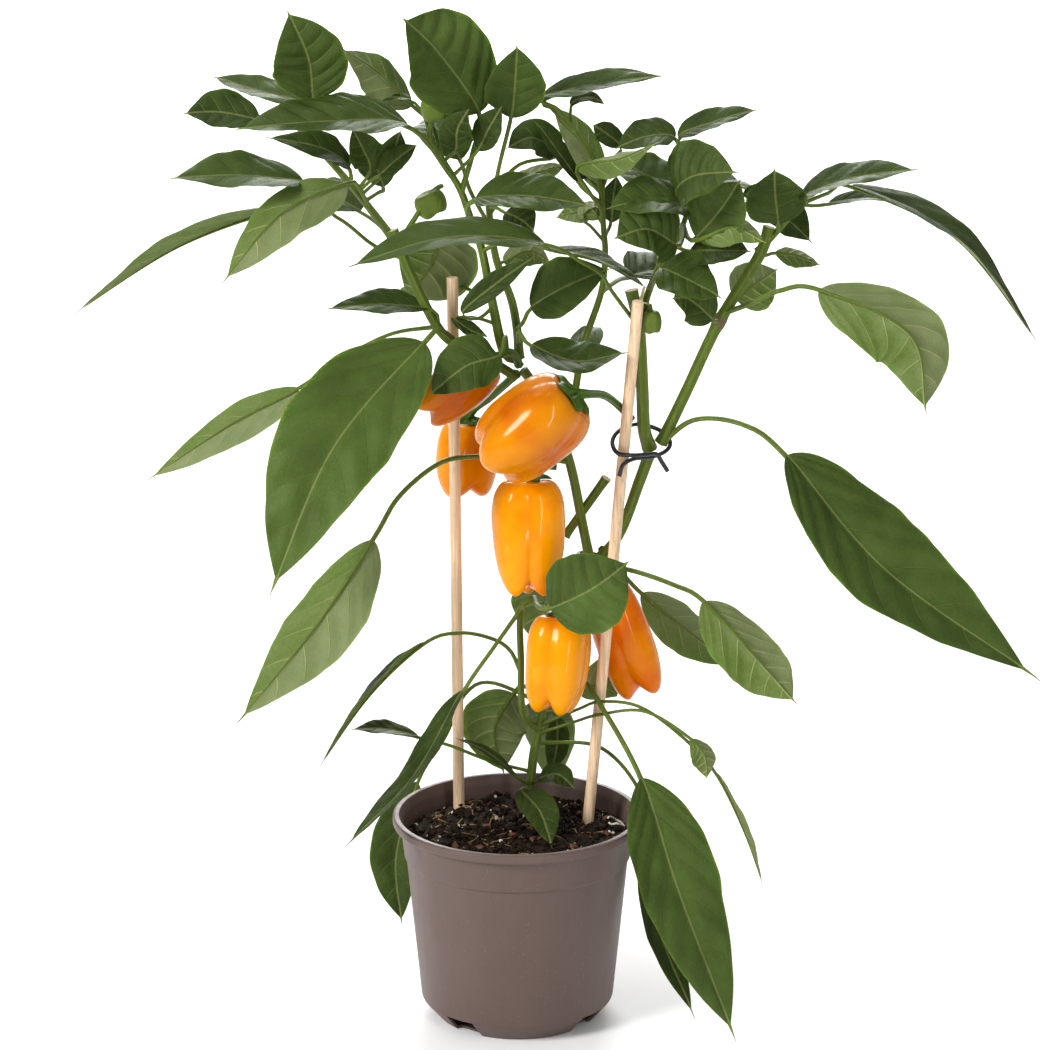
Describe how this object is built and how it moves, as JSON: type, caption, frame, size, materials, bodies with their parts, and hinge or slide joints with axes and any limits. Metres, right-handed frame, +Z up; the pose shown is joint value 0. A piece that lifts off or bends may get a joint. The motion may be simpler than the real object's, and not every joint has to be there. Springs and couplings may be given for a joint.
{
  "type": "potted bell pepper plant",
  "caption": "Bell pepper plant with broad leaves and glossy orange fruits, tied to wooden stakes in a round nursery pot that stands on its flat foot.",
  "frame": {"origin": "middle of the pot's flat foot, on the surface that it stands on", "axes": "+Z up, -Y towards the plant's front, +X to the right seen from the front"},
  "size_m": [0.496, 0.165, 0.531],
  "materials": {
    "pot_plastic": "satin taupe moulded plastic",
    "potting_soil": "crumbly dark potting soil with pale grains and fibres",
    "stake_wood": "plain pale wood with fine straight grain",
    "tie_coating": "black plastic-coated wire",
    "foliage": "satin dark green leaves with paler undersides, on green stems",
    "pepper_skin": "glossy smooth yellow-orange skin",
    "fruit_stalk": "satin green, ribbed"
  },
  "bodies": {
    "root": {"pot": "pot_plastic", "soil": "potting_soil", "stake_left": "stake_wood", "stake_right": "stake_wood", "wire_tie": "tie_coating", "main_stem": "foliage", "left_branch": "foliage", "middle_branch": "foliage", "centre_branch": "foliage", "right_inner_branch": "foliage", "right_outer_branch": "foliage", "pepper_upper_front": "pepper_skin", "pepper_middle": "pepper_skin", "pepper_lower": "pepper_skin", "pepper_right_lower": "pepper_skin", "pepper_upper_left": "pepper_skin", "pepper_rear": "pepper_skin", "stalk_upper_front": "fruit_stalk", "stalk_middle": "fruit_stalk", "stalk_lower": "fruit_stalk", "stalk_right_lower": "fruit_stalk", "stalk_upper_left": "fruit_stalk", "stalk_rear": "fruit_stalk"}
  },
  "joints": []
}
